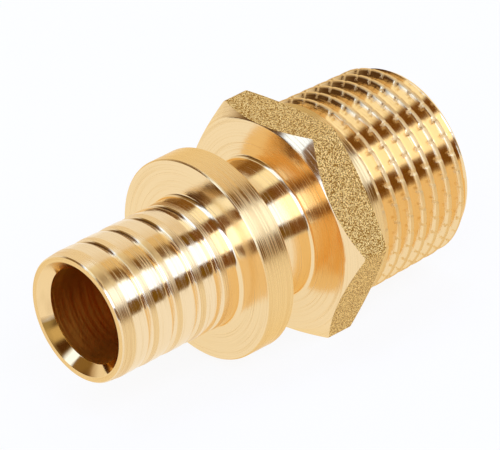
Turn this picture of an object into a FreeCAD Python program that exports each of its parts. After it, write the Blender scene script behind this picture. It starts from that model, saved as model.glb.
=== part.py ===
"""Brass pipe adapter: a ribbed nozzle for plastic pipe on one end, a taper pipe thread on the other.

The adapter is one turned and forged piece, lying on one flat of its hexagon.
All lengths are in millimetres. The origin is on the bore axis, in the plane where the collar's
front face leaves the nozzle. +X runs towards the thread end and +Z is up.
"""
import FreeCAD, Part
import math
import os
from FreeCAD import Vector

# Lengths along the axis, from the mouth of the nozzle to the end of the thread.
nozzle_length = 15.65
collar_width = 3.6
neck_length = 5.7
hexagon_length = 5.3
shoulder_length = 0.7
shank_length = 0.95
thread_length = 12.6

# Nozzle: lands parted by shallow grooves, each land with a lead-in cone in front and a sloping tail.
land_diameter = 13.9
groove_depth = 0.35
groove_count = 4
nose_land_length = 3.85
root_land_length = 2.35
lead_length = 0.8
lead_rise = 0.15
tail_length = 0.95
tail_rounding = 1.2
step_length = 0.12

# Mouth: a flat rim between a countersink and a small outer edge.
mouth_diameter = 13.4
mouth_edge_length = 0.15
nose_start_diameter = 13.64
nose_cone_length = 1.6
countersink_diameter = 12.3
countersink_depth = 1.0

# Collar and neck.
collar_diameter = 21.7
collar_face_lean = 0.21
collar_edge = 0.15
collar_root_fillet = 0.45
neck_diameter = 14.9
neck_fillet = 0.45

# Hexagon: rough forged flats between two turned ends.
hexagon_sides = 6
hexagon_across_flats = 22.8
hexagon_corner_rounding = 0.35
hexagon_face_diameter = 22.7
hexagon_face_lean = 0.6
front_chamfer_angle = 36.0
rear_chamfer_angle = 15.0
shoulder_diameter = 22.0
shank_diameter = 21.4

# Thread: taper pipe thread R 1/2, right-handed, 14 turns to the inch.
thread_pitch = 25.4 / 14
gauge_diameter = 20.955
gauge_length = 8.2
taper_on_radius = 1 / 32
thread_half_angle = 27.5
crest_share_of_pitch = 1 / 6
first_groove_offset = 0.8
runout_turn = 0.25
runout_offset = 2.6
runout_sweep = 75.0
groove_lift = 0.3
end_chamfer_length = 1.4
end_chamfer_depth = 0.8

# Bores: a narrow one through the nozzle and a wide one behind the thread.
nozzle_bore_diameter = 10.3
thread_bore_diameter = 13.5
thread_bore_depth = 14.0
drill_point_angle = 118.0
thread_bore_edge = 0.4

# Places along the axis.
mouth_x = -nozzle_length
collar_back_x = collar_width
hexagon_face_x = collar_back_x + neck_length
hexagon_rear_x = hexagon_face_x + hexagon_length
shoulder_end_x = hexagon_rear_x + shoulder_length
thread_start_x = shoulder_end_x + shank_length
thread_end_x = thread_start_x + thread_length
gauge_x = thread_end_x - gauge_length

axis = Vector(1, 0, 0)
origin = Vector(0, 0, 0)

# How far an outline that only cuts reaches past the metal, and how near counts as equal.
cutter_reach = 1.0
nearness = 1e-6


def point(x, radius):
    """A point of a turned outline, which is drawn above the axis."""
    return Vector(x, 0, radius)


def outline_wire(corners):
    """Close an outline through its corners. A third value in a corner is its rounding radius."""
    count = len(corners)
    entries = []
    exits = []
    for i, corner in enumerate(corners):
        here = point(corner[0], corner[1])
        rounding = corner[2] if len(corner) > 2 else 0.0
        if rounding == 0.0:
            entries.append(here)
            exits.append(here)
            continue
        before = (point(*corners[i - 1][:2]) - here).normalize()
        after = (point(*corners[(i + 1) % count][:2]) - here).normalize()
        setback = rounding / math.tan(before.getAngle(after) / 2)
        entries.append(here + before * setback)
        exits.append(here + after * setback)
    edges = []
    for i, corner in enumerate(corners):
        if not entries[i].isEqual(exits[i], nearness):
            here = point(corner[0], corner[1])
            inward = (entries[i] + exits[i]) * 0.5 - here
            spread = (entries[i] - here).getAngle(exits[i] - here) / 2
            reach = corner[2] / math.sin(spread) - corner[2]
            middle = here + inward.normalize() * reach
            edges.append(Part.Arc(entries[i], middle, exits[i]).toShape())
        following = entries[(i + 1) % count]
        edges.append(Part.LineSegment(exits[i], following).toShape())
    return Part.Wire(edges)


def turned(corners):
    """The solid of revolution of an outline about the bore axis."""
    return Part.Face(outline_wire(corners)).revolve(origin, axis, 360)


def crest_radius(x):
    """Radius of the taper that the thread's crests lie on."""
    return gauge_diameter / 2 + (gauge_x - x) * taper_on_radius


def nozzle_outline():
    """Outer corners of the nozzle, from the mouth to the collar."""
    land = land_diameter / 2
    corners = [
        (mouth_x, mouth_diameter / 2),
        (mouth_x + mouth_edge_length, nose_start_diameter / 2),
        (mouth_x + nose_cone_length, land),
    ]
    groove_pitch = (nozzle_length - nose_land_length - root_land_length) / (groove_count - 1)
    for i in range(groove_count):
        front = mouth_x + nose_land_length + i * groove_pitch
        corners.append((front - tail_length, land, tail_rounding))
        corners.append((front - step_length, land - groove_depth))
        corners.append((front, land - lead_rise))
        corners.append((front + lead_length, land))
    corners.append((0.0, land, collar_root_fillet))
    return corners


def front_turning():
    """Nozzle, collar and neck, which reach a little way into the hexagon."""
    collar = collar_diameter / 2
    neck = neck_diameter / 2
    buried_x = hexagon_face_x + hexagon_length / 2
    corners = [(mouth_x, 0.0)] + nozzle_outline()
    corners += [
        (collar_face_lean, collar - collar_edge),
        (collar_face_lean + collar_edge, collar),
        (collar_back_x - collar_edge, collar),
        (collar_back_x, collar - collar_edge),
        (collar_back_x, neck, neck_fillet),
        (hexagon_face_x, neck, neck_fillet),
        (hexagon_face_x + hexagon_face_lean / 2, (neck + hexagon_face_diameter / 2) / 2),
        (buried_x, neck),
        (buried_x, 0.0),
    ]
    return turned(corners)


def hexagon():
    """A forged hexagonal bar whose two ends are turned to cones."""
    half_side = math.pi / hexagon_sides
    corner = hexagon_across_flats / 2 / math.cos(half_side)
    prism_corners = []
    for i in range(hexagon_sides + 1):
        turn = half_side * (2 * i + 1)
        prism_corners.append(Vector(hexagon_face_x, corner * math.sin(turn), corner * math.cos(turn)))
    bar = Part.Face(Part.makePolygon(prism_corners)).extrude(axis * hexagon_length)
    long_edges = [edge for edge in bar.Edges if abs(edge.Length - hexagon_length) < nearness]
    bar = bar.makeFillet(hexagon_corner_rounding, long_edges)
    face = hexagon_face_diameter / 2
    outer = corner + cutter_reach
    rim_x = hexagon_face_x + hexagon_face_lean
    front_x = rim_x + (outer - face) * math.tan(math.radians(front_chamfer_angle))
    rear_x = hexagon_rear_x - (outer - face) * math.tan(math.radians(rear_chamfer_angle))
    ends = turned([
        (hexagon_face_x, 0.0),
        (hexagon_face_x, neck_diameter / 2),
        (rim_x, face),
        (front_x, outer),
        (rear_x, outer),
        (hexagon_rear_x, face),
        (hexagon_rear_x, 0.0),
    ])
    return bar.common(ends)


def thread_blank():
    """Shoulder, shank and tapered stub before the thread is cut."""
    shank = shank_diameter / 2
    shoulder = shoulder_diameter / 2
    chamfer_x = thread_end_x - end_chamfer_length
    buried_x = hexagon_rear_x - hexagon_length / 2
    return turned([
        (buried_x, 0.0),
        (buried_x, shank),
        (hexagon_rear_x, shoulder),
        (shoulder_end_x, shoulder),
        (shoulder_end_x, shank),
        (thread_start_x, shank),
        (thread_start_x, crest_radius(thread_start_x)),
        (chamfer_x, crest_radius(chamfer_x)),
        (thread_end_x, crest_radius(chamfer_x) - end_chamfer_depth),
        (thread_end_x, 0.0),
    ])


def groove_section(x, crest, lift):
    """Trapezoid of the thread groove at place x. It reaches lift above the crest cone."""
    slope = math.tan(math.radians(thread_half_angle))
    crest_width = thread_pitch * crest_share_of_pitch
    depth = (thread_pitch - 2 * crest_width) / (2 * slope)
    root_half = crest_width / 2
    top_half = root_half + (depth + lift) * slope
    corners = [
        point(x - root_half, crest - depth),
        point(x + root_half, crest - depth),
        point(x + top_half, crest + lift),
        point(x - top_half, crest + lift),
    ]
    return Part.makePolygon(corners + corners[:1])


def groove_cutter(first_x, travel):
    """The groove's solid along the taper helix, from beyond the end face towards the hexagon."""
    start_radius = crest_radius(first_x)
    taper_angle = math.degrees(math.atan(taper_on_radius))
    helix = Part.makeLongHelix(thread_pitch, travel, start_radius, taper_angle)
    helix.rotate(origin, Vector(0, 1, 0), -90)
    helix.translate(axis * first_x)
    sweep = Part.BRepOffsetAPI.MakePipeShell(Part.Wire(helix.Edges))
    sweep.setBiNormalMode(axis)
    sweep.add(groove_section(first_x, start_radius, groove_lift))
    sweep.build()
    sweep.makeSolid()
    return sweep.shape()


def runout_cutter(last_turn_x, end_angle):
    """The groove's last stretch, which leaves the metal on a circle set off from the bore axis."""
    crest = crest_radius(last_turn_x)
    section = Part.Face(groove_section(last_turn_x, crest, groove_lift))
    section.rotate(origin, axis, -end_angle)
    outward = Vector(0, math.sin(math.radians(end_angle)), math.cos(math.radians(end_angle)))
    return section.revolve(outward * -runout_offset, axis * -1, runout_sweep)


def thread():
    """The tapered stub with its helical groove cut and its last turn run out."""
    last_full_x = thread_start_x + first_groove_offset
    turns = math.ceil((thread_end_x + thread_pitch / 2 - last_full_x) / thread_pitch)
    first_x = last_full_x + turns * thread_pitch
    last_turn_x = last_full_x - runout_turn * thread_pitch
    grooved = thread_blank().cut(groove_cutter(first_x, first_x - last_turn_x))
    return grooved.cut(runout_cutter(last_turn_x, 360 * runout_turn))


def bores():
    """The stepped bore: a countersunk mouth, the nozzle bore, a drill cone and the thread bore."""
    narrow = nozzle_bore_diameter / 2
    wide = thread_bore_diameter / 2
    wide_start_x = thread_end_x - thread_bore_depth
    cone_length = (wide - narrow) / math.tan(math.radians(drill_point_angle / 2))
    return turned([
        (mouth_x, 0.0),
        (mouth_x, countersink_diameter / 2),
        (mouth_x + countersink_depth, narrow),
        (wide_start_x - cone_length, narrow),
        (wide_start_x, wide),
        (thread_end_x - thread_bore_edge, wide),
        (thread_end_x, wide + thread_bore_edge),
        (thread_end_x, 0.0),
    ])


outside = front_turning().fuse([hexagon(), thread()]).removeSplitter()
adapter_body = outside.cut(bores()).Solids[0]

os.makedirs("parts", exist_ok=True)
adapter_body.exportStep("parts/adapter_body.step")
print("adapter_body", adapter_body.ShapeType, "valid", adapter_body.isValid())
print("solids", len(adapter_body.Solids), "volume", round(adapter_body.Volume, 2), "mm3")
centre = adapter_body.CenterOfGravity
print("centre of mass", round(centre.x, 2), round(centre.y, 3), round(centre.z, 3))
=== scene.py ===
"""Pipe adapter: the brass body with its tool marks, forged flats and rolled thread, in a pale studio.

The body is turned about the X axis. It is modelled in millimetres and brought to metres at the end.
Angles round the body start at +Z and grow towards -Y, which is the side that the camera sees.
"""
import math
from collections import namedtuple
from types import SimpleNamespace

import bmesh
import bpy
from mathutils import Matrix, Vector, noise


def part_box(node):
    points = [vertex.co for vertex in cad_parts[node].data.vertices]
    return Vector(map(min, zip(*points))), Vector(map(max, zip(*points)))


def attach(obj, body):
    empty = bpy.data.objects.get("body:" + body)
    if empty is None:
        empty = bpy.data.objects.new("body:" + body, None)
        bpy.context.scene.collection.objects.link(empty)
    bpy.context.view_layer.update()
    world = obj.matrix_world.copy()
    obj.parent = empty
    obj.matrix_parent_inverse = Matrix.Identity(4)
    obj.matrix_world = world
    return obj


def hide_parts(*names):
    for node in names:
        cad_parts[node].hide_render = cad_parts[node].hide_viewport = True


bl_info = {
    "name": "Pipe adapter",
    "version": (1, 0, 0),
    "blender": (4, 5, 0),
    "location": "View3D > Sidebar > Pipe adapter",
    "description": "Builds a brass pipe adapter with a press nozzle, a hexagon and a taper thread",
    "category": "Object",
}

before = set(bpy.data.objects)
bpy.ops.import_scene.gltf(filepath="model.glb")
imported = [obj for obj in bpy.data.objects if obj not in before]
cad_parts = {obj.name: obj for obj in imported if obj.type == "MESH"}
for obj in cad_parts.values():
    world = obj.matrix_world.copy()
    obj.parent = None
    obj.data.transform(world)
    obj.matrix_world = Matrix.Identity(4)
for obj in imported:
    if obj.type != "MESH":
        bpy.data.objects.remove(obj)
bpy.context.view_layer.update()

MM = 0.001
FULL_TURN = 2 * math.pi
FLAT_SPACING = math.pi / 3
BORE_AXIS = Vector((1, 0, 0))
ORIGIN = Vector((0, 0, 0))

# Steps round the turned outline. The hexagon's corners fall on a step.
TURNED_STEPS = 180

# Radius that the taper thread loses in each millimetre of its length.
TAPER_ON_RADIUS = 1 / 32

# How near counts as equal, and the gaps closed between strips, between points and at a cut, in mm.
NEAR = 0.01
STRIP_GAP = 0.002
POINT_GAP = 0.001
CUT_GAP = 0.0005

# Rounding radii in millimetres, of crisp edges first and of soft bends last.
GROOVE_EDGE = 0.03
SHANK_EDGE = 0.04
RIM_EDGE = 0.05
TURNED_EDGE = 0.06
SHOULDER_EDGE = 0.08
EASED_EDGE = 0.1
SCRAPED_EDGE = 0.12
DRILL_SHOULDER = 0.2
TAIL_BEND = 0.4
LEAD_BEND = 0.6
LAND_BEND = 2.0
FACE_BEND = 3.0

# Tints of the reflections where a surface is seen nearly edge-on.
WARM_EDGE = (1.0, 0.86, 0.60)
PALE_EDGE = (1.0, 0.97, 0.90)

# A patch that is partly rubbed brass and partly painted shade: duller, more golden brass at one angle round
# the body, where it darkens the reflections. Its angle round the body and its width in degrees, and the
# place where it ends.
RubAndShade = namedtuple("RubAndShade", "angle width end_x")
# On the lands towards the mouth: partly rubbed brass, partly painted shade over the reflections there.
LAND_RUB_AND_SHADE = RubAndShade(angle=31, width=14, end_x=-4.5)
# In the countersink: partly scraped brass, partly painted shade over the reflection of a soft box.
SINK_RUB_AND_SHADE = RubAndShade(angle=229, width=24, end_x=-10)
# On the shoulder and shank: partly dull brass, partly painted shade over the reflections there.
SHANK_RUB_AND_SHADE = RubAndShade(angle=-3, width=18, end_x=30)


def length(name, description, value):
    """A size in metres that the user can change, given here in millimetres."""
    return bpy.props.FloatProperty(
        name=name, description=description, default=value * MM, min=0.0, unit="LENGTH", precision=5
    )


def angle(name, description, degrees):
    """An angle that the user can change, given here in degrees."""
    return bpy.props.FloatProperty(
        name=name, description=description, default=math.radians(degrees), subtype="ANGLE"
    )


def count(name, description, value):
    """A number of like features that the user can change."""
    return bpy.props.IntProperty(name=name, description=description, default=value, min=2)


def colour(name, description, value):
    """A colour that the user can change."""
    return bpy.props.FloatVectorProperty(
        name=name, description=description, default=value, min=0.0, max=1.0, size=3, subtype="COLOR"
    )


class NozzleSizes(bpy.types.PropertyGroup):
    length: length("Length", "From the collar's front face to the mouth", 15.65)
    land_diameter: length("Land diameter", "Outside diameter of the lands", 13.9)
    groove_depth: length("Groove depth", "Depth of the grooves between the lands", 0.35)
    groove_count: count("Grooves", "Number of grooves", 4)
    nose_land: length("Nose land", "From the mouth to the first groove", 3.85)
    root_land: length("Root land", "From the last groove to the collar", 2.35)
    lead_length: length("Lead length", "Length of the cone that starts each land", 0.8)
    lead_rise: length("Lead rise", "Rise of the cone that starts each land", 0.15)
    tail_length: length("Tail length", "Length of the slope that ends each land", 0.95)
    step_length: length("Step length", "Length of the step from a groove up to the next land", 0.12)
    mouth_diameter: length("Mouth diameter", "Diameter of the flat rim at the mouth", 13.4)
    mouth_edge_length: length("Mouth edge length", "Length of the edge round the flat rim", 0.15)
    mouth_edge_rise: length("Mouth edge rise", "Rise of the edge round the flat rim", 0.12)
    nose_cone: length("Nose cone", "Length of the slope behind the mouth", 1.6)
    countersink_diameter: length("Countersink diameter", "Diameter of the countersink at the mouth", 12.3)
    countersink_depth: length("Countersink depth", "Depth of the countersink", 1.0)


class MiddleSizes(bpy.types.PropertyGroup):
    collar_diameter: length("Collar diameter", "Outside diameter of the collar", 21.7)
    collar_width: length("Collar width", "Width of the collar", 3.6)
    collar_lean: length("Collar lean", "How far the collar's front face leans back at its rim", 0.21)
    collar_edge: length("Collar edge", "Chamfer on the two rims of the collar", 0.15)
    neck_diameter: length("Neck diameter", "Diameter of the neck", 14.9)
    neck_length: length("Neck length", "Length of the neck", 5.7)
    root_fillet: length("Root fillet", "Fillet between a turned face and the cylinder it stands on", 0.45)
    hexagon_across_flats: length("Hexagon across flats", "Width across the flats", 22.8)
    hexagon_length: length("Hexagon length", "Length of the hexagon", 5.3)
    hexagon_face_diameter: length("Hexagon face diameter", "Diameter of the hexagon's turned face", 22.7)
    hexagon_face_lean: length("Hexagon face lean", "How far the turned face leans back at its rim", 0.6)
    corner_rounding: length("Corner rounding", "Rounding between two flats", 0.35)
    shoulder_diameter: length("Shoulder diameter", "Diameter of the shoulder behind the hexagon", 22.0)
    shoulder_length: length("Shoulder length", "Length of the shoulder", 0.7)
    shank_diameter: length("Shank diameter", "Diameter of the shank before the thread", 21.4)
    shank_length: length("Shank length", "Length of the shank", 0.95)
    front_chamfer: angle("Front chamfer", "Angle of the cone that cuts the front corners", 36)
    rear_chamfer: angle("Rear chamfer", "Angle of the cone that cuts the rear corners", 15)


class ThreadSizes(bpy.types.PropertyGroup):
    length: length("Length", "Length of the thread", 12.6)
    pitch: length("Pitch", "From one crest to the next", 25.4 / 14)
    gauge_diameter: length("Gauge diameter", "Crest diameter at the gauge plane", 20.955)
    gauge_length: length("Gauge length", "From the end face to the gauge plane", 8.2)
    first_groove: length("First groove", "From the shank to the last full turn of the groove", 0.8)
    chamfer_length: length("Chamfer length", "Length of the end chamfer", 1.4)
    chamfer_depth: length("Chamfer depth", "Depth of the end chamfer", 0.8)
    notch_depth: length("Notch depth", "Depth of the notches rolled into the crests", 0.07)
    notch_width: length("Notch width", "Width of a notch along the crest", 0.34)
    notch_count: count("Notches", "Notches in one turn", 33)
    notch_phase: angle("Notch phase", "Angle round the body of the first notch", 87.8)


class BoreSizes(bpy.types.PropertyGroup):
    nozzle_diameter: length("Nozzle bore", "Diameter of the bore in the nozzle", 10.3)
    thread_diameter: length("Thread bore", "Diameter of the bore behind the thread", 13.5)
    thread_depth: length("Thread bore depth", "Depth of the bore behind the thread", 14.0)
    thread_edge: length("Thread bore edge", "Chamfer at the end of the thread bore", 0.4)
    drill_point: angle("Drill point", "Angle of the cone that the thread bore ends in", 118)


class FinishColours(bpy.types.PropertyGroup):
    brass: colour("Brass", "Freshly turned brass", (0.93, 0.70, 0.39))
    forged: colour("Forged brass", "Raised grain of the forged flats", (1.0, 0.68, 0.25))
    pits: colour("Pits", "Hollows between the forged grain", (0.40, 0.175, 0.02))
    golden: colour("Golden brass", "Dull, torn or rubbed brass", (0.86, 0.54, 0.18))
    floor: colour("Floor", "Floor that the adapter lies on", (0.94, 0.92, 0.89))


def rounded_outline(corners, steps=4):
    """Points of an open outline through its corners. A third value in a corner is its rounding radius."""
    points = []
    for before, corner, after in zip(corners[:1] + corners, corners, corners[1:] + corners[-1:]):
        here = Vector(corner[:2])
        if len(corner) == 2:
            points.append(here)
            continue
        back = (Vector(before[:2]) - here).normalized()
        forward = (Vector(after[:2]) - here).normalized()
        half = back.angle(forward) / 2
        centre = here + (back + forward).normalized() * corner[2] / math.sin(half)
        first = (here + back * corner[2] / math.tan(half) - centre).normalized()
        last = (here + forward * corner[2] / math.tan(half) - centre).normalized()
        for i in range(steps + 1):
            points.append(centre + first.slerp(last, i / steps) * corner[2])
    return points


def spin_outline(bm, points, angle, steps, rise=0.0):
    """Turn an outline about the bore axis through an angle, and along the axis by a rise."""
    verts = [bm.verts.new((x, 0, radius)) for x, radius in points]
    edges = [bm.edges.new(pair) for pair in zip(verts, verts[1:])]
    bmesh.ops.spin(
        bm, geom=verts + edges, cent=ORIGIN, axis=BORE_AXIS, dvec=BORE_AXIS * rise / steps,
        angle=angle, steps=steps, use_merge=angle == FULL_TURN,
    )


def angle_round(place):
    """Angle of a place round the body, from +Z towards -Y, between zero and a full turn."""
    return math.atan2(-place.y, place.z) % FULL_TURN


def radius_of(place):
    """Distance of a place from the bore axis."""
    return math.hypot(place.y, place.z)


def linked(verts, kind):
    """The edges or faces that vertices have, each once."""
    return list(dict.fromkeys(part for vert in verts for part in getattr(vert, kind)))


def put(vert, x, radius, angle):
    """Move a vertex to a place that is given along, out from and round the axis."""
    vert.co = (x, -radius * math.sin(angle), radius * math.cos(angle))


def in_millimetres(group):
    """The sizes of a group as plain values, with its lengths in millimetres."""
    sizes = SimpleNamespace()
    for name in type(group).__annotations__:
        value = getattr(group, name)
        is_length = group.bl_rna.properties[name].unit == "LENGTH"
        setattr(sizes, name, value / MM if is_length else value)
    return sizes


class AdapterPlan:
    """The adapter's sizes in millimetres, the places that follow from them, and its colours."""

    def __init__(self, scene):
        self.nozzle = in_millimetres(scene.adapter_nozzle)
        self.middle = in_millimetres(scene.adapter_middle)
        self.thread = in_millimetres(scene.adapter_thread)
        self.bore = in_millimetres(scene.adapter_bore)
        self.colours = scene.adapter_colours
        middle = self.middle
        self.mouth_x = -self.nozzle.length
        self.sink_x = self.mouth_x + self.nozzle.countersink_depth
        self.collar_x = middle.collar_width
        self.face_x = self.collar_x + middle.neck_length
        self.rim_x = self.face_x + middle.hexagon_face_lean
        self.rear_x = self.face_x + middle.hexagon_length
        self.shoulder_x = self.rear_x + middle.shoulder_length
        self.thread_x = self.shoulder_x + middle.shank_length
        self.end_x = self.thread_x + self.thread.length
        self.gauge_x = self.end_x - self.thread.gauge_length
        self.groove_x = self.thread_x + self.thread.first_groove
        self.flat = middle.hexagon_across_flats / 2
        self.face = middle.hexagon_face_diameter / 2
        half = FLAT_SPACING / 2
        sharp_corner = self.flat / math.cos(half)
        rounding = middle.corner_rounding
        self.corner = sharp_corner - rounding * (1 / math.cos(half) - 1)
        self.rounding_angle = math.atan(rounding * math.sin(half) / sharp_corner)

    def cone_x(self, radius):
        """Where the front chamfer of the hexagon has this radius."""
        return self.rim_x + (radius - self.face) * math.tan(self.middle.front_chamfer)

    def rear_cone_x(self, radius):
        """Where the rear chamfer of the hexagon has this radius."""
        return self.rear_x - (radius - self.face) * math.tan(self.middle.rear_chamfer)

    def crest_radius(self, x):
        """Radius of the taper that the thread's crests lie on."""
        return self.thread.gauge_diameter / 2 + (self.gauge_x - x) * TAPER_ON_RADIUS


def bore_corners(plan):
    """Corners of the stepped bore, from the end of the thread to the mouth."""
    sizes = plan.bore
    wide = sizes.thread_diameter / 2
    narrow = sizes.nozzle_diameter / 2
    wide_x = plan.end_x - sizes.thread_depth
    drill_cone = (wide - narrow) / math.tan(sizes.drill_point / 2)
    return [
        (plan.end_x, wide + sizes.thread_edge),
        (plan.end_x - sizes.thread_edge, wide, EASED_EDGE),
        (wide_x, wide, DRILL_SHOULDER),
        (wide_x - drill_cone, narrow, EASED_EDGE),
        (plan.sink_x, narrow, SCRAPED_EDGE),
        (plan.mouth_x, plan.nozzle.countersink_diameter / 2, RIM_EDGE),
    ]


def nozzle_corners(plan):
    """Corners of the nozzle's outside, from the mouth to the collar.

    Each land ends in a tail that falls slowly at first, and starts with a lead that rises fast at
    first. The bends of both are given as shares of their lengths and heights.
    """
    tail_shares = (0.6, 0.12)
    lead_shares = (0.15, 0.35)
    sizes = plan.nozzle
    land = sizes.land_diameter / 2
    mouth = sizes.mouth_diameter / 2
    corners = [
        (plan.mouth_x, mouth, RIM_EDGE),
        (plan.mouth_x + sizes.mouth_edge_length, mouth + sizes.mouth_edge_rise, TURNED_EDGE),
        (plan.mouth_x + sizes.nose_cone, land, LAND_BEND),
    ]
    spacing = (sizes.length - sizes.nose_land - sizes.root_land) / (sizes.groove_count - 1)
    for i in range(sizes.groove_count):
        front = plan.mouth_x + sizes.nose_land + i * spacing
        tail_x = front - tail_shares[0] * sizes.tail_length
        lead_x = front + lead_shares[0] * sizes.lead_length
        corners += [
            (front - sizes.tail_length, land, LAND_BEND),
            (tail_x, land - tail_shares[1] * sizes.groove_depth, TAIL_BEND),
            (front - sizes.step_length, land - sizes.groove_depth, GROOVE_EDGE),
            (front, land - sizes.lead_rise, GROOVE_EDGE),
            (lead_x, land - lead_shares[1] * sizes.lead_rise, EASED_EDGE),
            (front + sizes.lead_length, land, LEAD_BEND),
        ]
    corners.append((0.0, land, plan.middle.root_fillet))
    return corners


def middle_corners(plan):
    """Corners of the collar and the neck, up to the rim of the hexagon's turned face."""
    sizes = plan.middle
    collar = sizes.collar_diameter / 2
    neck = sizes.neck_diameter / 2
    edge = sizes.collar_edge
    return [
        (sizes.collar_lean, collar - edge, TURNED_EDGE),
        (sizes.collar_lean + edge, collar, TURNED_EDGE),
        (plan.collar_x - edge, collar, TURNED_EDGE),
        (plan.collar_x, collar - edge, TURNED_EDGE),
        (plan.collar_x, neck, sizes.root_fillet),
        (plan.face_x, neck, sizes.root_fillet),
        (plan.face_x + sizes.hexagon_face_lean / 2, (neck + plan.face) / 2, FACE_BEND),
        (plan.rim_x, plan.face),
    ]


def hexagon_corners(plan):
    """Corners of the turned blank of the hexagon, on which the flats are then forged."""
    cone_steps = 3
    flat_steps = 4
    rise = plan.corner - plan.face
    front_x = plan.cone_x(plan.corner)
    span = plan.rear_cone_x(plan.corner) - front_x
    corners = []
    for i in range(1, cone_steps + 1):
        radius = plan.face + rise * i / cone_steps
        corners.append((plan.cone_x(radius), radius))
    for i in range(1, flat_steps + 1):
        corners.append((front_x + span * i / flat_steps, plan.corner))
    return corners


def shank_corners(plan):
    """Corners of the hexagon's rear face, the shoulder and the shank, down to below the thread's crests."""
    shoulder = plan.middle.shoulder_diameter / 2
    shank = plan.middle.shank_diameter / 2
    shoulder_chamfer = 0.06
    shank_start = 0.02
    below_crests = 0.07
    return [
        (plan.rear_x, plan.face),
        (plan.rear_x, shoulder, SHOULDER_EDGE),
        (plan.shoulder_x - shoulder_chamfer, shoulder, RIM_EDGE),
        (plan.shoulder_x + shank_start, shank, SHANK_EDGE),
        (plan.thread_x, shank, RIM_EDGE),
        (plan.thread_x, shank - below_crests),
    ]


def forge_flats(bm, plan):
    """Press the turned blank of the hexagon to six flats. Its chamfers stay cones."""
    blank = plan.corner
    front_x = plan.cone_x(blank)
    for vert in bm.verts:
        x = vert.co.x
        radius = radius_of(vert.co)
        if radius < plan.face + NEAR or not plan.rim_x < x < plan.rear_x:
            continue
        angle = angle_round(vert.co)
        corner_angle = (math.floor(angle / FLAT_SPACING) + 0.5) * FLAT_SPACING
        offset = angle - corner_angle
        steps_off = round(abs(offset) / FULL_TURN * TURNED_STEPS)
        if steps_off == 1:
            offset = math.copysign(plan.rounding_angle, offset)
        if steps_off == 0:
            flat = blank
        else:
            flat = plan.flat / math.cos(FLAT_SPACING / 2 - abs(offset))
        if x < front_x - POINT_GAP:
            share = (radius - plan.face) / (blank - plan.face)
            radius = plan.face + share * (flat - plan.face)
            x = plan.cone_x(radius)
        else:
            share = (x - front_x) / (plan.rear_cone_x(blank) - front_x)
            radius = flat
            x = plan.cone_x(flat) + share * (plan.rear_cone_x(flat) - plan.cone_x(flat))
        put(vert, x, radius, corner_angle + offset)


def raise_burr(bm, plan):
    """Leave the uneven burr that the tool threw up on the front edge of the collar."""
    reach = 0.2
    height = 0.05
    worn_off = 0.2
    long_waves = 7
    short_waves = 24
    short_share = 0.7
    collar = plan.middle.collar_diameter / 2
    for vert in bm.verts:
        distance = math.hypot(vert.co.x - plan.middle.collar_lean, radius_of(vert.co) - collar)
        if distance < reach:
            angle = angle_round(vert.co)
            wave = noise.noise((long_waves * math.cos(angle), long_waves * math.sin(angle), 0))
            ripple = noise.noise((short_waves * math.cos(angle), short_waves * math.sin(angle), 3))
            wave += short_share * ripple
            vert.co.x += (wave - worn_off) * height * (1 - distance / reach)


def thread_outline(plan):
    """Outline of a straight thread at the gauge radius, one pitch longer than the thread.

    Its depth is that of 55 degree flanks, between crests and roots a sixth of the pitch wide. The
    flanks themselves lean 30 degrees, which fits the way that they catch the light.
    """
    pitch = plan.thread.pitch
    crest_width = pitch / 6
    depth = (pitch - 2 * crest_width) / (2 * math.tan(math.radians(27.5)))
    slope = math.tan(math.radians(30))
    crest = plan.crest_radius(plan.gauge_x)
    half_mouth = (pitch - crest_width) / 2
    half_root = half_mouth - depth * slope
    half_groove = [(half_root, crest - depth, EASED_EDGE)]
    for share in (0.75, 0.42, 0.2):
        half_groove.append((half_root + (1 - share) * depth * slope, crest - share * depth))
    half_groove.append((half_mouth, crest, TURNED_EDGE))
    groove = [(-x, *rest) for x, *rest in reversed(half_groove)] + half_groove
    first = plan.groove_x - pitch
    corners = [(first - pitch / 2, crest)]
    for i in range(math.ceil((plan.end_x - first) / pitch) + 1):
        middle = first + i * pitch
        corners += [(middle + x, *rest) for x, *rest in groove]
        corners.append((middle + pitch / 2, crest))
    return rounded_outline(corners, steps=2)


def spin_strips(bm, plan):
    """Spin the thread's outline by one notch spacing, and repeat the strip round the body."""
    steps_between_notches = 12
    notches = plan.thread.notch_count
    sector = FULL_TURN / notches
    rise = plan.thread.pitch / notches
    before = set(bm.verts)
    spin_outline(bm, thread_outline(plan), sector, steps_between_notches, rise)
    strip = [vert for vert in bm.verts if vert not in before]
    strip += linked(strip, "link_faces")
    for i in range(1, notches):
        made = bmesh.ops.duplicate(bm, geom=strip)["geom"]
        turned = [vert for vert in made if isinstance(vert, bmesh.types.BMVert)]
        bmesh.ops.rotate(bm, verts=turned, cent=ORIGIN, matrix=Matrix.Rotation(sector * i, 3, "X"))
        bmesh.ops.translate(bm, verts=turned, vec=BORE_AXIS * rise * i)
    verts = [vert for vert in bm.verts if vert not in before]
    bmesh.ops.remove_doubles(bm, verts=verts, dist=STRIP_GAP)


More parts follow.
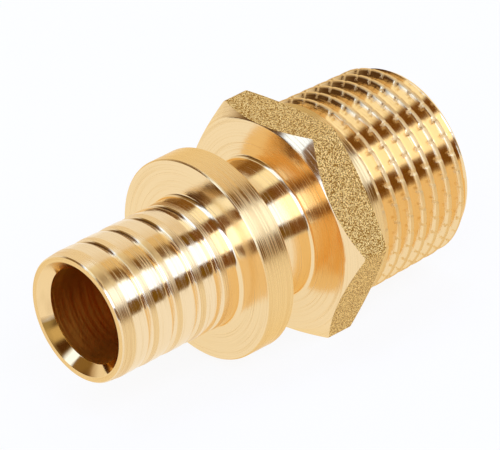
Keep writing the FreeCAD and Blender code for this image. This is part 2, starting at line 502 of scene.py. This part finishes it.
def shape_thread(verts, plan):
    """Taper the thread, run its groove out, notch its crests and chamfer its end."""
    runout_start = -0.25
    runout_end = -0.46
    runout_power = 0.6
    gather = 0.55
    notch_reach = 0.6
    sizes = plan.thread
    sector = FULL_TURN / sizes.notch_count
    crest = plan.crest_radius(plan.gauge_x)
    chamfer_x = plan.end_x - sizes.chamfer_length
    chamfer_slope = sizes.chamfer_depth / sizes.chamfer_length
    for vert in verts:
        x = vert.co.x
        angle = angle_round(vert.co)
        depth = crest - radius_of(vert.co)
        turn = angle / FULL_TURN
        turns_from_start = round((x - plan.groove_x) / sizes.pitch - turn) + turn
        if turns_from_start < runout_start:
            share = (turns_from_start - runout_end) / (runout_start - runout_end)
            depth *= min(max(share, 0.0), 1.0) ** runout_power
        offset = (angle - sizes.notch_phase) / sector
        offset -= round(offset)
        pull = gather * math.sin(FULL_TURN * offset) / FULL_TURN
        arc = (offset - pull) * sector * crest
        press = math.exp(-(arc / (sizes.notch_width / 2)) ** 4)
        reach = max(1 - depth / notch_reach, 0.0)
        radius = plan.crest_radius(x) - depth - press * reach * sizes.notch_depth
        chamfer = plan.crest_radius(chamfer_x) - (x - chamfer_x) * chamfer_slope
        put(vert, x, min(radius, chamfer), angle - pull * sector)


def roll_thread(bm, plan):
    """Make the skin of the thread and trim it at the shank and at the end face."""
    before = set(bm.verts)
    spin_strips(bm, plan)
    shape_thread([vert for vert in bm.verts if vert not in before], plan)
    for x, side in ((plan.thread_x, "clear_inner"), (plan.end_x, "clear_outer")):
        verts = [vert for vert in bm.verts if vert not in before]
        skin = verts + linked(verts, "link_edges") + linked(verts, "link_faces")
        bmesh.ops.bisect_plane(
            bm, geom=skin, dist=CUT_GAP, plane_co=BORE_AXIS * x, plane_no=BORE_AXIS, **{side: True}
        )


def close_plane(bm, x):
    """Join the two open rims that lie in the plane at x with faces."""
    rims = [
        edge for edge in bm.edges
        if edge.is_boundary and all(abs(vert.co.x - x) < STRIP_GAP for vert in edge.verts)
    ]
    bmesh.ops.bridge_loops(bm, edges=rims)


def finish_of(face, plan):
    """The finish of a face, by where it lies on the body."""
    flat_lean = 0.02
    bore_margin = 0.5
    shank_margin = 1.0
    rim_margin = 0.1
    facing_mouth = -0.9
    worn_steepest = -0.3
    worn_flattest = -0.04
    centre = face.calc_center_median()
    x = centre.x
    radius = radius_of(centre)
    lean = face.normal.x
    bore = plan.bore.thread_diameter / 2
    inward = face.normal.y * centre.y + face.normal.z * centre.z < 0
    if inward and radius < bore + bore_margin and x > plan.sink_x:
        return "bore"
    if inward and x < plan.sink_x:
        return "countersink"
    if plan.thread_x + NEAR < x < plan.end_x - NEAR:
        return "thread"
    if plan.rear_x + NEAR < x < plan.thread_x + NEAR / 2 and radius > bore + shank_margin:
        return "shank"
    if abs(lean) < flat_lean and radius > plan.flat - NEAR and plan.rim_x < x < plan.rear_x:
        return "forged"
    if radius > plan.middle.collar_diameter / 2 - rim_margin and 0 < x < plan.collar_x:
        return "collar"
    if lean < facing_mouth and x < plan.mouth_x + RIM_EDGE:
        return "collar"
    if x < 0 and radius < plan.nozzle.land_diameter / 2 + NEAR:
        return "worn" if worn_steepest < lean < worn_flattest else "nozzle"
    return "turned"


class Wire:
    """A socket of a node tree that can be used in arithmetic."""

    def __init__(self, tree, socket):
        self.tree = tree
        self.socket = socket

    def __add__(self, other):
        return self.tree.math("ADD", self, other)

    def __radd__(self, other):
        return self.tree.math("ADD", other, self)

    def __sub__(self, other):
        return self.tree.math("SUBTRACT", self, other)

    def __rsub__(self, other):
        return self.tree.math("SUBTRACT", other, self)

    def __mul__(self, other):
        return self.tree.math("MULTIPLY", self, other)

    def __truediv__(self, other):
        return self.tree.math("DIVIDE", self, other)

    def __pow__(self, other):
        return self.tree.math("POWER", self, other)

    def cosine(self):
        return self.tree.math("COSINE", self)

    def clamp(self):
        """This value kept between zero and one."""
        return self.tree.add("Clamp", {}, {"Value": self})

    def ramp(self, gain, start=0.0):
        """A slope of this value that is kept between zero and one. It has its start where this is zero."""
        return (self * gain + start).clamp()


class Tree:
    """A node tree, and the one way in which this script adds nodes to it."""

    def __init__(self, owner):
        owner.use_nodes = True
        self.nodes = owner.node_tree.nodes
        self.links = owner.node_tree.links
        self.nodes.clear()

    def add(self, kind, settings=None, inputs=None, output=0):
        """A new node. Its settings are set first, then its sockets get their values or links."""
        node = self.nodes.new("ShaderNode" + kind)
        for name, value in (settings or {}).items():
            setattr(node, name, value)
        for name, value in (inputs or {}).items():
            self.feed(node.inputs[name], value)
        return Wire(self, node.outputs[output]) if len(node.outputs) else node

    def feed(self, socket, value):
        """Give a socket its value, or link it to a wire."""
        if isinstance(value, Wire):
            self.links.new(value.socket, socket)
        else:
            socket.default_value = value

    def outputs(self, wire):
        """All outputs of the node that a wire comes from, by name."""
        return {socket.name: Wire(self, socket) for socket in wire.socket.node.outputs}

    def math(self, operation, *values):
        return self.add("Math", {"operation": operation}, dict(enumerate(values)))

    def mix(self, share, first, second):
        """A colour between two colours. Sockets 6 and 7 of the node take colours, and output 2 gives one."""
        settings = {"data_type": "RGBA", "clamp_factor": True, "clamp_result": False}
        inputs = {0: share, 6: first, 7: second}
        for index in (6, 7):
            if not isinstance(inputs[index], Wire):
                inputs[index] = (*inputs[index], 1.0)
        return self.add("Mix", settings, inputs, output=2)

    def vector(self, x, y, z):
        return self.add("CombineXYZ", {}, {0: x, 1: y, 2: z})

    def noise(self, vector, scale, detail):
        settings = {"noise_dimensions": "3D"}
        inputs = {"Vector": vector, "Scale": scale, "Detail": detail, "Roughness": 0.5}
        return self.add("TexNoise", settings, inputs)


def body_point(tree):
    """Where each point of the surface lies in the body's own frame, in millimetres."""
    place = tree.add("TexCoord", {}, {}, "Object")
    parts = tree.outputs(tree.add("SeparateXYZ", {}, {0: place}))
    return [parts[name] / MM for name in "XYZ"]


def round_axis(tree, y, z):
    """Distance from the bore axis in millimetres, and angle round it in radians."""
    radius = (y * y + z * z) ** 0.5
    return radius, tree.math("ARCTAN2", 0 - y, z)


def rings(tree, across, angle, frequency, drift, detail):
    """Noise drawn out round the axis, so that it makes rings this many to the millimetre.

    The drift is how much the rings change on their way round. The frequency is the third coordinate
    too, so that sets of rings differ.
    """
    return tree.noise(tree.vector(across * frequency, angle * drift, frequency), 1.0, detail)


def brass_shader(tree, colour, roughness, height, distance, edge=WARM_EDGE):
    """A metal surface whose bump is given as a height and the distance it stands for."""
    bump = tree.add("Bump", {}, {"Strength": 1.0, "Distance": distance, "Height": height})
    inputs = {"Base Color": colour, "Metallic": 1.0, "Roughness": roughness, "Normal": bump}
    inputs["Specular Tint"] = (*edge, 1.0)
    shader = tree.add("BsdfPrincipled", {}, inputs)
    tree.add("OutputMaterial", {}, {"Surface": shader})


def patch(angle, centre, width):
    """One near an angle round the body in degrees, falling to zero at its width on either side."""
    edge = math.cos(math.radians(width))
    near = (angle - math.radians(centre)).cosine()
    return ((near - edge) / (1 - edge)).ramp(2.0)


def turned_material(name, base, golden, finish, torn, groove_height, wave_height, rub_and_shade=None, edge=WARM_EDGE):
    """Turned brass. Its fine grooves spread reflections along the axis and leave them sharp round it.

    The finish is the roughness between the torn rings, which are duller and more golden, and torn
    is their share. The heights of grooves and waves are in millimetres.
    """
    radius_share = 0.93
    torn_contrast = 6.0
    torn_gold = 0.3
    torn_roughness = 0.2
    rub_and_shade_fade = 0.6
    rub_and_shade_dullness = 0.4
    rub_and_shade_tears = 0.5
    material = bpy.data.materials.new(name)
    tree = Tree(material)
    x, y, z = body_point(tree)
    radius, angle = round_axis(tree, y, z)
    across = x + radius * radius_share
    grooves = rings(tree, across, angle, frequency=16.0, drift=0.4, detail=1.0)
    waves = rings(tree, across, angle, frequency=3.0, drift=0.2, detail=2.0)
    dull = rings(tree, across, angle, frequency=7.0, drift=0.7, detail=2.0)
    dull = (dull - (1 - torn)).ramp(torn_contrast, 0.5)
    gold = dull * torn_gold
    # A duller, more golden patch at a fixed angle round the body: partly rubbed brass, partly painted shade
    # that darkens the reflections there.
    if rub_and_shade:
        rubbed_and_shaded = patch(angle, rub_and_shade.angle, rub_and_shade.width) * (rub_and_shade.end_x - x).ramp(rub_and_shade_fade)
        dull = dull + rubbed_and_shaded * (dull * rub_and_shade_tears + rub_and_shade_dullness)
        gold = gold + rubbed_and_shaded
    colour = tree.mix(gold.clamp(), base, golden)
    height = grooves * groove_height + waves * wave_height
    brass_shader(tree, colour, finish + dull * torn_roughness, height, MM, edge)
    return material


def blend(first, second, share):
    """A colour between two colours."""
    return [a + (b - a) * share for a, b in zip(first, second)]


def tinted(colour, tint):
    """A colour times another, channel by channel."""
    return [a * b for a, b in zip(colour, tint)]


def nozzle_material(plan):
    """The lands of the nozzle, with a bright finish and, towards the mouth, a duller golden patch at one
    angle that is partly rubbed brass and partly painted shade over the reflections there.
    """
    brass = plan.colours.brass
    return turned_material(
        "nozzle", base=blend(brass, (1, 1, 1), 0.07), golden=blend(plan.colours.golden, brass, 0.2),
        finish=0.09, torn=0.42, groove_height=0.002, wave_height=0.004, rub_and_shade=LAND_RUB_AND_SHADE, edge=PALE_EDGE,
    )


def worn_material(plan):
    """The cones that face the mouth, dulled by the pipe, with the same golden patch as the lands: partly
    rubbed brass, partly painted shade over the reflections there.
    """
    golden = plan.colours.golden
    return turned_material(
        "worn", base=blend(plan.colours.brass, golden, 0.45), golden=golden,
        finish=0.25, torn=0.45, groove_height=0.003, wave_height=0.005, rub_and_shade=LAND_RUB_AND_SHADE, edge=PALE_EDGE,
    )


def plain_material(plan):
    """The turned faces and the neck."""
    return turned_material(
        "turned", base=plan.colours.brass, golden=plan.colours.golden,
        finish=0.11, torn=0.40, groove_height=0.006, wave_height=0.004,
    )


def countersink_material(plan):
    """The countersink, with a dark patch on one side that is partly scraped brass and partly painted shade
    over the reflection of a soft box.
    """
    return turned_material(
        "countersink", base=blend(plan.colours.brass, plan.colours.golden, 0.35),
        # Dark colour of the patch: partly scraped brass, partly painted shade.
        golden=tinted(plan.colours.pits, (0.75, 0.75, 1.0)),
        finish=0.08, torn=0.40, groove_height=0.002, wave_height=0.003, rub_and_shade=SINK_RUB_AND_SHADE,
    )


def collar_material(plan):
    """The collar's rim and the flat rim of the mouth, with coarser rings and scratches."""
    golden = plan.colours.golden
    return turned_material(
        "collar", base=blend(plan.colours.brass, golden, 0.6), golden=golden,
        finish=0.16, torn=0.5, groove_height=0.008, wave_height=0.014,
    )


def shank_material(plan):
    """The shoulder and the shank behind the hexagon, turned with a dull tool, with a duller golden patch on
    one side that is partly rubbed brass and partly painted shade over the reflections there.
    """
    golden = plan.colours.golden
    return turned_material(
        "shank", base=tinted(blend(plan.colours.brass, golden, 0.55), (0.93, 0.93, 0.93)),
        # Darker golden for the patch: partly dull brass, partly painted shade.
        golden=tinted(golden, (0.72, 0.72, 0.72)),
        finish=0.13, torn=0.45, groove_height=0.006, wave_height=0.016, rub_and_shade=SHANK_RUB_AND_SHADE,
    )


def bore_material(plan):
    """The drilled bore, a little rougher than the outside and deeper in colour."""
    deep = tinted(plan.colours.brass, (0.86, 0.56, 0.12))
    return turned_material(
        "bore", base=deep, golden=deep, finish=0.32, torn=0.5, groove_height=0.004, wave_height=0.006,
    )


def forged_material(plan):
    """The rough flats of the hexagon, grainy from forging and blasting."""
    fine_share = 0.85
    polish = 0.18
    grain_depth = 0.38 * MM
    material = bpy.data.materials.new("forged")
    tree = Tree(material)
    place = tree.vector(*body_point(tree))
    fine = tree.noise(place, scale=7.5, detail=1.0)
    coarse = tree.noise(place, scale=3.0, detail=1.0)
    height = fine * fine_share + coarse * (1 - fine_share)
    raised = (height - 0.5).ramp(11.0, 0.76)
    colour = tree.mix(raised, plan.colours.pits, plan.colours.forged)
    brass_shader(tree, colour, polish, height, grain_depth)
    return material


def thread_material(plan):
    """The rolled thread, with faint lines that follow its turns and crests dulled by the rolling."""
    brass = plan.colours.brass
    notch_count = plan.thread.notch_count
    notch_edge = 0.72
    raggedness = 1.4
    polish = 0.06
    fine_height = 0.005
    coarse_height = 0.010
    material = bpy.data.materials.new("thread")
    tree = Tree(material)
    x, y, z = body_point(tree)
    radius, angle = round_axis(tree, y, z)
    across = radius * 1.6 + x * 0.4
    fine = rings(tree, across, angle, frequency=14.0, drift=2.0, detail=1.0)
    coarse = rings(tree, across, angle, frequency=4.0, drift=3.0, detail=2.0)
    ragged = tree.noise(tree.vector(x, y, z), scale=7.0, detail=1.0)
    above_taper = radius - (plan.crest_radius(0) - x * TAPER_ON_RADIUS)
    notches = (angle * notch_count - plan.thread.notch_phase * notch_count).cosine()
    in_notch = (notches - notch_edge + (ragged - 0.5) * raggedness).ramp(4.0)
    near_crest = (above_taper + ragged * 0.3).ramp(6.0, 2.3)
    dull = (above_taper.ramp(8.0, 1.3) + in_notch * near_crest).clamp()
    colour = tree.mix((coarse * 0.3 + dull).clamp(), brass, blend(brass, plan.colours.golden, 0.75))
    roughness = polish + coarse * 0.08 + dull * 0.38
    brass_shader(tree, colour, roughness, fine * fine_height + coarse * coarse_height, MM)
    return material


# The finishes of the body, in the order of its material slots.
FINISHES = {
    "turned": plain_material,
    "nozzle": nozzle_material,
    "worn": worn_material,
    "countersink": countersink_material,
    "collar": collar_material,
    "forged": forged_material,
    "shank": shank_material,
    "thread": thread_material,
    "bore": bore_material,
}


class ADAPTER_OT_body(bpy.types.Operator):
    """Build the brass body: bore, nozzle, collar, neck, hexagon, shank and thread in one closed skin"""

    bl_idname = "adapter.body"
    bl_label = "Brass body"

    def execute(self, context):
        sharp_angle = math.radians(32)
        slots = list(FINISHES)
        plan = AdapterPlan(context.scene)
        bm = bmesh.new()
        corners = bore_corners(plan) + nozzle_corners(plan) + middle_corners(plan)
        corners += hexagon_corners(plan) + shank_corners(plan)
        spin_outline(bm, rounded_outline(corners), FULL_TURN, TURNED_STEPS)
        forge_flats(bm, plan)
        raise_burr(bm, plan)
        roll_thread(bm, plan)
        close_plane(bm, plan.thread_x)
        close_plane(bm, plan.end_x)
        bmesh.ops.remove_doubles(bm, verts=bm.verts, dist=POINT_GAP)
        bmesh.ops.recalc_face_normals(bm, faces=bm.faces)
        for face in bm.faces:
            face.smooth = True
            face.material_index = slots.index(finish_of(face, plan))
        for edge in bm.edges:
            edge.smooth = edge.calc_face_angle(0) < sharp_angle
        if not all(edge.is_manifold for edge in bm.edges):
            self.report({"WARNING"}, "The skin of the brass body has an open edge")
        bmesh.ops.scale(bm, vec=Vector((MM, MM, MM)), verts=bm.verts)
        mesh = bpy.data.meshes.new("brass_body")
        bm.to_mesh(mesh)
        bm.free()
        for make in FINISHES.values():
            mesh.materials.append(make(plan))
        body = bpy.data.objects.new("brass_body", mesh)
        context.scene.collection.objects.link(body)
        weighted = body.modifiers.new("Even shading", "WEIGHTED_NORMAL")
        weighted.keep_sharp = True
        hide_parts("adapter_body")
        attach(body, "root")
        return {"FINISHED"}


def panel(tree, direction, edges, softness):
    """One in the directions on the inner side of every edge, and zero elsewhere.

    An edge is the plane through the adapter and a straight side of the panel, given by the plane's
    normal, which points into the panel.
    """
    inside = 1.0
    for normal in edges:
        product = tree.add("VectorMath", {"operation": "DOT_PRODUCT"}, {0: direction, 1: normal}, "Value")
        inside = (product / softness + 0.5).clamp() * inside
    return inside


def edge_after(degrees):
    """Edge of a panel parallel to the bore, which starts at this angle round it and goes onwards."""
    normal = math.radians(degrees + 90)
    return Vector((0, -math.sin(normal), math.cos(normal)))


def edge_before(degrees):
    """Edge of a panel parallel to the bore, which ends at this angle round it."""
    return -edge_after(degrees)


def studio_world(scene):
    """A pale room with two soft boxes, and dark cards beside them that give the brass its contrast."""
    world = bpy.data.worlds.new("studio")
    scene.world = world
    tree = Tree(world)
    direction = tree.add("TexCoord", {}, {}, "Generated")

    # The key box is a long strip over the near side. Dark cards lie round it and towards the mouth.
    key_box = panel(tree, direction, [edge_after(28.8), edge_before(64.8)], 0.06)
    card_end = Vector((0.470, -0.470, 0.747))
    cards = panel(tree, direction, [edge_after(5.5), edge_before(89), card_end], 0.08)
    left_card_side = Vector((-0.308, -0.897, -0.319))
    left_card = panel(tree, direction, [left_card_side, edge_before(30), -BORE_AXIS], 0.06)

    # Two soft boxes lie towards the mouth, and end in one plane with the curtain.
    box_end = Vector((-0.919, 0.198, 0.342))
    left_box = panel(tree, direction, [Vector((-0.42, -0.90, 0.04)), box_end], 0.08)
    top_box = panel(tree, direction, [edge_after(-25), box_end], 0.10)
    soft_boxes = (left_box + top_box).clamp()

    # A warm, dim curtain hangs towards the mouth, with a darker strip above and a darker foot below.
    curtain_top = Vector((-0.55, -0.30, 0.78))
    curtain_side = Vector((-0.944, -0.330, 0))
    curtain = panel(tree, direction, [curtain_top, curtain_side, box_end], 0.30)
    curtain_strip = panel(tree, direction, [edge_after(-60), -BORE_AXIS, box_end], 0.15)
    foot_top = Vector((-0.45, 0.25, -0.857))
    foot_side = Vector((-0.88, -0.47, 0))
    curtain_foot = panel(tree, direction, [foot_top, foot_side], 0.15)

    # The ceiling is warmer than the walls. The key box and the cards are dimmer towards the thread end.
    ceiling = panel(tree, direction, [edge_after(-30), edge_before(20)], 0.4)
    onwards = panel(tree, direction, [BORE_AXIS], 0.8)
    dark = tree.mix(onwards, (0.20, 0.10, 0.025), (0.185, 0.092, 0.005))
    bright = tree.mix(onwards, (2.0, 2.6, 4.4), (1.4, 1.7, 2.5))
    colour = (0.92, 0.90, 0.88)
    layers = (
        (ceiling, (0.84, 0.75, 0.62)),
        (curtain, (0.40, 0.27, 0.13)),
        (curtain_strip, (0.25, 0.155, 0.05)),
        (curtain_foot, (0.09, 0.045, 0.018)),
        (soft_boxes, (1.2, 1.6, 2.6)),
        ((cards + left_card).clamp(), dark),
        (key_box, bright),
    )
    for share, shade in layers:
        colour = tree.mix(share, colour, shade)
    room = tree.add("Background", {}, {"Color": colour, "Strength": 1.0})
    path = tree.outputs(tree.add("LightPath"))
    white = tree.add("Background", {}, {"Color": (1, 1, 1, 1), "Strength": 1.0})
    surface = tree.add("MixShader", {}, {0: path["Is Camera Ray"], 1: room, 2: white})
    tree.add("OutputWorld", {}, {"Surface": surface})


def floor_material(shade):
    """A pale floor that the camera and the brass see as nearly white, with the adapter's shadow on it."""
    glow_share = 0.9
    material = bpy.data.materials.new("floor")
    tree = Tree(material)
    path = tree.outputs(tree.add("LightPath"))
    diffuse = tree.add("BsdfDiffuse", {}, {"Color": (*shade, 1.0)})
    glow = tree.add("Emission", {}, {"Color": (1, 1, 1, 1), "Strength": 1.0})
    seen = path["Is Camera Ray"] * glow_share + path["Is Glossy Ray"] * glow_share
    surface = tree.add("MixShader", {}, {0: seen.clamp(), 1: diffuse, 2: glow})
    tree.add("OutputMaterial", {}, {"Surface": surface})
    return material


def photo_camera(scene):
    """The photo's camera, with a long lens 0.73 m away, in front of the mouth and above it."""
    data = bpy.data.cameras.new("camera")
    data.lens = 527.0
    data.sensor_width = 36.0
    data.clip_start = 0.05
    camera = bpy.data.objects.new("camera", data)
    scene.collection.objects.link(camera)
    place = Vector((-409.99, -494.83, 351.59)) * MM
    right = Vector((0.73542, -0.67350, -0.07451))
    up = Vector((0.37084, 0.30801, 0.87613))
    back = Vector((-0.56713, -0.67196, 0.47628))
    turn = Matrix((right, up, back)).transposed().to_4x4()
    camera.matrix_world = Matrix.Translation(place) @ turn
    scene.camera = camera


class ADAPTER_OT_stage(bpy.types.Operator):
    """Build the stage: pale floor, studio light and the camera"""

    bl_idname = "adapter.stage"
    bl_label = "Stage"

    def execute(self, context):
        floor_reach = 3.0
        scene = context.scene
        scene.view_settings.view_transform = "Standard"
        studio_world(scene)
        bm = bmesh.new()
        bmesh.ops.create_grid(bm, x_segments=1, y_segments=1, size=floor_reach)
        floor_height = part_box("adapter_body")[0].z
        bmesh.ops.translate(bm, verts=bm.verts, vec=(0, 0, floor_height))
        mesh = bpy.data.meshes.new("floor")
        bm.to_mesh(mesh)
        bm.free()
        floor = bpy.data.objects.new("floor", mesh)
        scene.collection.objects.link(floor)
        mesh.materials.append(floor_material(scene.adapter_colours.floor))
        photo_camera(scene)
        return {"FINISHED"}


class ADAPTER_PT_panel(bpy.types.Panel):
    """Lists the steps that build the adapter"""

    bl_idname = "ADAPTER_PT_panel"
    bl_label = "Pipe adapter"
    bl_space_type = "VIEW_3D"
    bl_region_type = "UI"
    bl_category = "Pipe adapter"

    def draw(self, context):
        for operator in (ADAPTER_OT_body, ADAPTER_OT_stage):
            self.layout.operator(operator.bl_idname)


GROUPS = {
    "adapter_nozzle": NozzleSizes,
    "adapter_middle": MiddleSizes,
    "adapter_thread": ThreadSizes,
    "adapter_bore": BoreSizes,
    "adapter_colours": FinishColours,
}
CLASSES = (*GROUPS.values(), ADAPTER_OT_body, ADAPTER_OT_stage, ADAPTER_PT_panel)


def register():
    for each in CLASSES:
        bpy.utils.register_class(each)
    for name, group in GROUPS.items():
        setattr(bpy.types.Scene, name, bpy.props.PointerProperty(type=group))


def unregister():
    for name in GROUPS:
        delattr(bpy.types.Scene, name)
    for each in reversed(CLASSES):
        bpy.utils.unregister_class(each)


def main():
    register()
    bpy.ops.adapter.body()
    bpy.ops.adapter.stage()


if __name__ == "__main__":
    main()
